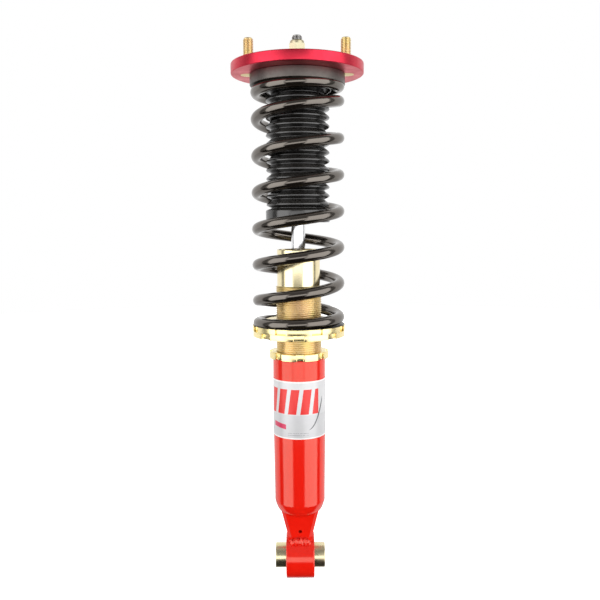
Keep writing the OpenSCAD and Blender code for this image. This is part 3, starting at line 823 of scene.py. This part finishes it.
class COILOVER_OT_spring(bpy.types.Operator):
    """Adds the coil spring, wound from round wire with closed and ground ends"""

    bl_idname = "coilover.spring"
    bl_label = "Main spring"

    def execute(self, context):
        wire = sizes().wire
        bottom, top = low("main_spring"), high("main_spring")
        middle = sizes().coil / 2 - wire / 2
        starts, opens, closes, ends = 40.0, 376.0, 2563.0, 2993.0    # degrees along the wire
        closed_pitch = 11 * MM
        closed_turns = (opens - starts + ends - closes) / 360
        open_pitch = (top - bottom + wire / 2 - closed_pitch * closed_turns) / (closes - opens) * 360

        def height(turn):
            return (-wire / 4 + closed_pitch * (turn - starts) / 360 + (open_pitch - closed_pitch) / 360
                    * (soft_ramp(turn - opens) - soft_ramp(turn - closes)))

        def share(turn):
            """How much of the lower end's travel the wire takes at a turn."""
            return min(1.0, max(0.0, (closes - turn) / (closes - opens)))

        mesh = bmesh.new()
        layer = mesh.verts.layers.float.new("share")
        section = bmesh.ops.create_circle(
            mesh, cap_ends=False, segments=28, radius=wire / 2,
            matrix=Matrix.Rotation(math.radians(starts), 4, "Z")
            @ Matrix.Translation((middle, 0, bottom + height(starts)))
            @ Matrix.Rotation(math.pi / 2, 4, "X"))["verts"]
        for v in section:
            v[layer] = share(starts)
        loop = list({e for v in section for e in v.link_edges})
        first = list(loop)
        steps = 520
        for i in range(steps):
            before, after = (starts + (ends - starts) * k / steps for k in (i, i + 1))
            spun = bmesh.ops.spin(mesh, geom=loop, cent=(0, 0, 0), axis=(0, 0, 1),
                                  dvec=(0, 0, height(after) - height(before)),
                                  angle=math.radians(after - before), steps=1)["geom_last"]
            loop = only(BMEdge, spun)
            for v in only(BMVert, spun):
                v[layer] = share(after)
        for end in (first, loop):
            bmesh.ops.contextual_create(mesh, geom=end)
        for level, side in ((bottom, -1), (top, 1)):
            bmesh.ops.bisect_plane(mesh, geom=mesh.verts[:] + mesh.edges[:] + mesh.faces[:],
                                   plane_co=(0, 0, level), plane_no=(0, 0, side), clear_outer=True)
            rim = [e for e in mesh.edges if len(e.link_faces) == 1]
            bmesh.ops.triangle_fill(mesh, edges=rim, use_beauty=True)
        piece = make_piece("main_spring_wire", mesh, None, MATERIALS["black_paint"],
                           sharp=40.0)
        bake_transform(piece)
        piece.data.attributes.remove(piece.data.attributes["share"])
        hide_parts("main_spring")
        return {"FINISHED"}


class COILOVER_OT_boot(bpy.types.Operator):
    """Adds the rubber dust boot with its folds, flared top and plain lower cuff"""

    bl_idname = "coilover.boot"
    bl_label = "Dust boot"

    def execute(self, context):
        bottom, top = low("dust_boot"), high("dust_boot")
        folds = sizes().folds
        ridge, valley, wall = 31.3 * MM, 26 * MM, 1.5 * MM
        cuff, flare = 32 * MM, 34 * MM
        start, stop = bottom + 13 * MM, top - 10 * MM
        pitch = (stop - start) / folds
        outside = [(cuff - MM, bottom, 0.6 * MM), (cuff, bottom + 2 * MM, MM), (cuff, start - MM, 1.2 * MM)]
        for i in range(folds):
            base = start + i * pitch
            outside += [(valley, base + 0.14 * pitch, 0.9 * MM), (ridge, base + 0.4 * pitch, 1.4 * MM),
                        (ridge, base + 0.64 * pitch, 1.4 * MM)]
        outside += [(valley, stop + 0.14 * pitch, 0.7 * MM), (flare - 0.5 * MM, top - 5 * MM, 1.5 * MM),
                    (flare, top, 0)]
        inside = [(r - wall, z, cut) for r, z, cut in reversed(outside)]
        mesh = bmesh.new()
        turn_outline(mesh, outside + inside, ROUND, 3)
        make_piece("dust_boot_folded", mesh, "top_mount", MATERIALS["black_rubber"],
                   ["dust_boot"])
        return {"FINISHED"}


class COILOVER_OT_damper_body(bpy.types.Operator):
    """Adds the damper body with its smooth neck and long outside thread"""

    bl_idname = "coilover.damper_body"
    bl_label = "Damper body"

    def execute(self, context):
        bottom, top = low("damper_tube"), high("damper_tube")
        crest, depth = radius("damper_tube"), 0.75 * MM
        neck, bore = 21.5 * MM, 19 * MM
        thread_top = 281.8 * MM
        groove, groove_depth = top - 6.5 * MM, 0.5 * MM
        core = crest - depth
        turns = 66
        mesh = bmesh.new()
        turn_outline(mesh, [(bore, bottom, 0), (core, bottom, 0.5 * MM), (core, thread_top - MM, 0),
                            (neck, thread_top + 0.4 * MM, 0), (neck, groove, 0.15 * MM),
                            (neck - groove_depth, groove + 0.4 * MM, 0.1 * MM),
                            (neck - groove_depth, groove + 1.2 * MM, 0.1 * MM),
                            (neck, groove + 1.6 * MM, 0.15 * MM), (neck, top, 1.2 * MM),
                            (bore + 0.6 * MM, top, 0.2 * MM), (bore, top - 0.6 * MM, 0)])
        wind_thread(mesh, crest, depth, sizes().body_pitch, thread_top, turns, 1.0 * MM, 72)
        piece = make_piece("damper_tube_threaded", mesh, "damper_body",
                           (MATERIALS["gold_zinc"], MATERIALS["pale_zinc"]), ["damper_tube"])
        for face in piece.data.polygons:
            face.material_index = int(face.center.z > thread_top)
        return {"FINISHED"}


class COILOVER_OT_rings(bpy.types.Operator):
    """Adds the spring perch, its lock ring and the bracket collar with spanner notches"""

    bl_idname = "coilover.rings"
    bl_label = "Adjusting rings"

    def execute(self, context):
        size = sizes()
        bore = THREAD_BORE
        flange = low("slip_ring")
        rings = (("spring_perch", "perch", size.perch, flange, size.ring_notch, 22.5),
                 ("perch_lock_ring", "lock_ring", size.lock_ring, high("perch_lock_ring"),
                  size.ring_notch, -90),
                 ("bracket_collar", "collar", size.collar, high("bracket_collar"),
                  size.collar_notch, -88))
        for node, body, across, top, notch, start in rings:
            mesh = bmesh.new()
            notched_ring(mesh, across / 2, bore, low(node), top, notch, size.notch_depth, size.notches,
                         math.radians(start))
            if node == "spring_perch":
                lip = size.coil / 2 - size.wire - MM
                turn_ring(mesh, lip, bore, top - 0.3 * MM, high(node), 0.8 * MM)
            make_piece(node + "_cut", mesh, body, MATERIALS["polished_zinc"], [node])
        return {"FINISHED"}


class COILOVER_OT_bracket(bpy.types.Operator):
    """Adds the painted bracket tube and the neck that joins it to the eye"""

    bl_idname = "coilover.bracket"
    bl_label = "Bracket tube and neck"

    def execute(self, context):
        bottom, top = low("bracket_tube"), high("bracket_tube")
        outer, bore = radius("bracket_tube"), THREAD_BORE
        foot = outer - 0.75 * MM
        cap = foot - MM
        floor = bottom + 6 * MM
        mesh = bmesh.new()
        turn_outline(mesh, [(0, bottom, 0), (18.7 * MM, bottom, 1.5 * MM),
                            (cap - 2 * MM, bottom + 4.4 * MM, 2.2 * MM), (cap, bottom + 9.4 * MM, 2 * MM),
                            (foot, bottom + 13 * MM, 0.8 * MM), (foot, bottom + 24 * MM, 2 * MM),
                            (outer, low("tube_label") - 2 * MM, 3 * MM), (outer, top, 0.9 * MM),
                            (bore + 0.8 * MM, top, 0.2 * MM), (bore, top - 0.8 * MM, 0),
                            (bore, floor, 3 * MM), (0, floor, 0)], ROUND, 8)
        make_piece("bracket_tube_painted", mesh, "bracket", MATERIALS["red_paint"],
                   ["bracket_tube"])
        least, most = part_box("bracket_neck")
        narrow, start, waist, drain, cut = sizes().neck, 12 * MM, 24.5 * MM, 31 * MM, 3.4 * MM
        deep_foot = most.y - least.y - 4 * MM

        def slab(width, depth, height):
            """Corners of a level section through the neck, with its four corners cut off."""
            x, y = width / 2, depth / 2
            return [Vector((px, py, height)) for px, py in (
                (cut - x, -y), (x - cut, -y), (x, cut - y), (x, y - cut),
                (x - cut, y), (cut - x, y), (-x, y - cut), (-x, cut - y))]

        neck = bmesh.new()
        below = slab(narrow, deep_foot, start)
        end = neck.faces.new([neck.verts.new(p) for p in below])
        for above in (slab(narrow, deep_foot, waist), slab(most.x - least.x, most.y - least.y, most.z)):
            made = bmesh.ops.extrude_face_region(neck, geom=[end])["geom"]
            end = only(BMFace, made)[0]
            for v in end.verts:
                v.co = above[min(range(len(below)), key=lambda i: (below[i] - v.co).length)]
            below = above
        piece = make_piece("bracket_neck_block", neck, None, MATERIALS["red_paint"])
        cutter = bmesh.new()
        hole, depth = 1.8 * MM, 30 * MM
        bmesh.ops.create_cone(cutter, cap_ends=True, segments=24, radius1=hole, radius2=hole,
                              depth=depth, matrix=Matrix.Translation((0, -depth / 2, drain))
                              @ Matrix.Rotation(math.pi / 2, 4, "X"))
        inside = radius("eye_ring") - MM
        bmesh.ops.create_cone(cutter, cap_ends=True, segments=96, radius1=inside, radius2=inside,
                              depth=2 * depth, matrix=Matrix.Rotation(math.pi / 2, 4, "Y"))
        cut_with(piece, cutter)
        for face in piece.data.polygons:
            face.use_smooth = False
        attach(piece, "bracket")
        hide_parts("bracket_neck")
        return {"FINISHED"}


class COILOVER_OT_eye(bpy.types.Operator):
    """Adds the eye ring, its rubber bush, the inner sleeve and the welds"""

    bl_idname = "coilover.eye"
    bl_label = "Lower eye"

    def execute(self, context):
        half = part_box("eye_ring")[1].x
        mesh = bmesh.new()
        turn_ring(mesh, radius("eye_ring"), radius("bush_shell"), -half, half, 1.3 * MM)
        lay_along_x(mesh)
        make_piece("eye_ring_painted", mesh, "bracket", MATERIALS["red_paint"], ["eye_ring"])
        mesh = bmesh.new()
        face = half - 1.5 * MM
        tube, reach = radius("bush_sleeve"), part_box("bush_sleeve")[1].x
        inner = tube + 0.05 * MM
        shell = radius("bush_rubber")
        outline = [(inner, -face - 1.2 * MM, 0), (inner + 2.2 * MM, -face - 1.2 * MM, 0.8 * MM),
                   (inner + 3.4 * MM, -face + 1.4 * MM, 0.8 * MM), (shell - MM, -face + 1.4 * MM, 0.8 * MM),
                   (shell, -face, 0)]
        turn_outline(mesh, outline + [(r, -z, cut) for r, z, cut in reversed(outline)], 96)
        lay_along_x(mesh)
        make_piece("bush_rubber_moulded", mesh, "bracket", MATERIALS["black_rubber"],
                   ["bush_rubber"])
        mesh = bmesh.new()
        bolt = 6.1 * MM
        turn_outline(mesh, [(bolt, -reach, 0.4 * MM), (tube, -reach, 0.8 * MM),
                            (tube, reach, 0.8 * MM), (bolt, reach, 0.4 * MM)], 96)
        lay_along_x(mesh)
        make_piece("bush_sleeve_turned", mesh, "sleeve", MATERIALS["lying_zinc"],
                   ["bush_sleeve"])
        mesh = bmesh.new()
        for side in (-1, 1):
            self.bead(mesh, side)
        make_piece("weld_bead_rippled", mesh, "bracket", MATERIALS["red_paint"],
                   ["weld_bead"], sharp=60.0)
        return {"FINISHED"}

    def bead(self, mesh, side):
        """A rippled fillet weld across the neck's foot."""
        ripples, sides = 44, 12
        out, up = 15.2 * MM, 20.5 * MM      # place of the bead's middle from the eye's centre
        verts = bmesh.ops.create_circle(mesh, cap_ends=False, segments=sides, radius=1.0,
                                        matrix=Matrix.Rotation(math.pi / 2, 4, "Y"))["verts"]
        loop = list({e for v in verts for e in v.link_edges})
        rings = [verts]
        for i in range(ripples):
            made = bmesh.ops.extrude_edge_only(mesh, edges=loop)["geom"]
            loop = only(BMEdge, made)
            rings.append(only(BMVert, made))
            bmesh.ops.translate(mesh, verts=rings[-1], vec=(1.0, 0, 0))
        reach = 11 * MM
        for i, ring in enumerate(rings):
            s = 2 * i / ripples - 1
            fat = (3.4 + 0.35 * math.sin(i * 1.75) + 0.4 * math.sin(i * 0.6)) * MM
            fat *= math.sqrt(max(0.02, 1 - s ** 4))
            droop = (0.6 * math.sin(i * 0.9 + side) - 1.5 * s * s) * MM
            for v in ring:
                v.co = Vector((s * reach + 0.25 * MM * math.sin(i * 2.1),
                               side * (out + v.co.y * fat * 0.8),
                               up + droop + v.co.z * fat * 1.25))
        for ring in (rings[0], rings[-1]):
            bmesh.ops.contextual_create(mesh, geom=list({e for v in ring for e in v.link_edges
                                                         if len(e.link_faces) == 1}))


class COILOVER_OT_label(bpy.types.Operator):
    """Adds the printed label that wraps the bracket tube"""

    bl_idname = "coilover.label"
    bl_label = "Label wrap"

    def execute(self, context):
        bottom, top = low("tube_label"), high("tube_label")
        inner, outer = radius("bracket_tube") + 0.01 * MM, radius("tube_label")
        seam = 4 * MM / outer
        steps = 160
        mesh = bmesh.new()
        corners = rounded([(inner, bottom, 0), (outer, bottom, 0.06 * MM), (outer, top, 0.06 * MM),
                           (inner, top, 0)], 2)
        verts = [mesh.verts.new((p.x, 0, p.y)) for p in corners]
        face = mesh.faces.new(verts)
        angle = FULL_TURN - seam
        bmesh.ops.rotate(mesh, verts=verts, cent=(0, 0, 0),
                         matrix=Matrix.Rotation(math.pi / 2 + seam / 2, 3, "Z"))
        spun = bmesh.ops.spin(mesh, geom=list(face.edges), cent=(0, 0, 0), axis=(0, 0, 1), angle=angle,
                              steps=steps)["geom_last"]
        bmesh.ops.contextual_create(mesh, geom=only(BMEdge, spun))
        layer = mesh.loops.layers.uv.new("wrap")
        for face in mesh.faces:
            for corner in face.loops:
                place = corner.vert.co
                around = math.atan2(place.x, -place.y)
                corner[layer].uv = (around * outer, place.z - bottom)
        make_piece("tube_label_printed", mesh, "bracket", MATERIALS["label"], ["tube_label"])
        return {"FINISHED"}


class COILOVER_OT_hidden_parts(bpy.types.Operator):
    """Gives every CAD node that stays the material of its slot"""

    bl_idname = "coilover.hidden_parts"
    bl_label = "Materials of the CAD parts"

    def execute(self, context):
        for part in frame["record"]["subparts"]:
            node = frame["nodes"][part["node"]]
            for slot in node.material_slots:
                slot.material = MATERIALS[part["material_slot"]]
        return {"FINISHED"}


class COILOVER_OT_studio(bpy.types.Operator):
    """Adds the pale floor, the soft lights and the camera"""

    bl_idname = "coilover.studio"
    bl_label = "Studio"

    def execute(self, context):
        studio = context.scene.coilover_studio
        scene = context.scene
        scene.view_settings.view_transform = "Standard"
        reach, drop = 6.0, 0.4
        disc = bmesh.new()
        bmesh.ops.create_circle(disc, cap_ends=True, segments=96, radius=reach,
                                matrix=Matrix.Translation((0, 0, -drop)))
        floor = stand("floor", disc)
        pale = Finish("pale_floor", roughness=0.9, specular_ior_level=0.1)
        pale.shader.inputs["Base Color"].default_value = (0.95, 0.95, 0.95, 1)
        pale.shader.inputs["Emission Color"].default_value = (1, 1, 1, 1)
        pale.shader.inputs["Emission Strength"].default_value = 0.9
        floor.data.materials.append(pale.material)
        floor.visible_glossy = False
        floor.visible_diffuse = False
        self.tent(scene, studio.light)
        lens = bpy.data.cameras.new("camera")
        lens.lens = studio.lens
        lens.sensor_width = 36
        camera = bpy.data.objects.new("camera", lens)
        scene.collection.objects.link(camera)
        camera.matrix_world = (
            Matrix.Translation((studio.sideways, -studio.distance, studio.height))
            @ Matrix.Rotation(math.pi / 2 - studio.pitch, 4, "X")
            @ Matrix.Rotation(studio.roll, 4, "Z"))
        scene.camera = camera
        return {"FINISHED"}

    def tent(self, scene, brightness):
        """A soft light tent: panels in front and at the sides, and a white back."""
        world = bpy.data.worlds.new("tent")
        scene.world = world
        world.use_nodes = True
        tree = world.node_tree
        back = tree.nodes["Background"]
        x, y, z = add(tree, "SeparateXYZ", {0: add(tree, "TexCoord").outputs["Generated"]}).outputs
        around = maths(tree, "DEGREES", maths(tree, "ARCTAN2", x, maths(tree, "MULTIPLY", y, -1.0)))
        up = maths(tree, "DEGREES", maths(tree, "ARCSINE", z))
        aside = maths(tree, "ABSOLUTE", around)

        def edge(value, start, stop):
            return add(tree, "MapRange", {"Value": value, "From Min": start, "From Max": stop}
                       ).outputs["Result"]

        light, soft = 0.03, 1.8
        for strength, turn, left, right, bottom, top in (
                (2.05, around, -80, -31, -38, 36), (2.05, around, 22, 85, -38, 36),
                (1.8, around, -28.5, 20, -13, 11), (0.22, around, -200, 200, -18, 66),
                (0.8, aside, 103, 200, -62, 66), (0.4, aside, -10, 200, 66, 100)):
            sides = maths(tree, "MULTIPLY", edge(turn, left - soft, left + soft),
                          edge(turn, right + soft, right - soft))
            ends = maths(tree, "MULTIPLY", edge(up, bottom - soft, bottom + soft),
                         edge(up, top + soft, top - soft))
            panel = maths(tree, "MULTIPLY", maths(tree, "MULTIPLY", sides, ends), strength)
            light = maths(tree, "ADD", panel, light)
        seen = add(tree, "LightPath").outputs["Is Camera Ray"]
        tone = blend_colours(tree, seen, maths(tree, "MULTIPLY", light, brightness), (1, 1, 1, 1))
        tree.links.new(tone, back.inputs["Color"])


class COILOVER_PT_panel(bpy.types.Panel):
    """Lists the coilover's pieces in the sidebar"""

    bl_label = "Coilover"
    bl_idname = "COILOVER_PT_panel"
    bl_space_type = "VIEW_3D"
    bl_region_type = "UI"
    bl_category = "Coilover"

    def draw(self, context):
        for group_name in ("coilover_sizes", "coilover_finish", "coilover_studio"):
            settings = getattr(context.scene, group_name)
            for name in settings.bl_rna.properties.keys():
                if name not in ("rna_type", "name"):
                    self.layout.prop(settings, name)
        for operator in OPERATORS:
            self.layout.operator(operator.bl_idname)


SETTINGS = {"coilover_sizes": CoiloverSizes, "coilover_finish": CoiloverFinish,
            "coilover_studio": CoiloverStudio}
OPERATORS = (COILOVER_OT_top_plate, COILOVER_OT_studs, COILOVER_OT_rod, COILOVER_OT_spring,
             COILOVER_OT_boot, COILOVER_OT_damper_body, COILOVER_OT_rings, COILOVER_OT_bracket,
             COILOVER_OT_eye, COILOVER_OT_label, COILOVER_OT_hidden_parts, COILOVER_OT_studio)


def register():
    for kind in (*SETTINGS.values(), *OPERATORS, COILOVER_PT_panel):
        bpy.utils.register_class(kind)
    for name, kind in SETTINGS.items():
        setattr(bpy.types.Scene, name, PointerProperty(type=kind))


def unregister():
    for name in SETTINGS:
        delattr(bpy.types.Scene, name)
    for kind in (COILOVER_PT_panel, *reversed(OPERATORS), *SETTINGS.values()):
        bpy.utils.unregister_class(kind)


def main():
    register()
    make_materials()
    for operator in OPERATORS:
        area, name = operator.bl_idname.split(".")
        getattr(getattr(bpy.ops, area), name)()


if __name__ == "__main__":
    main()
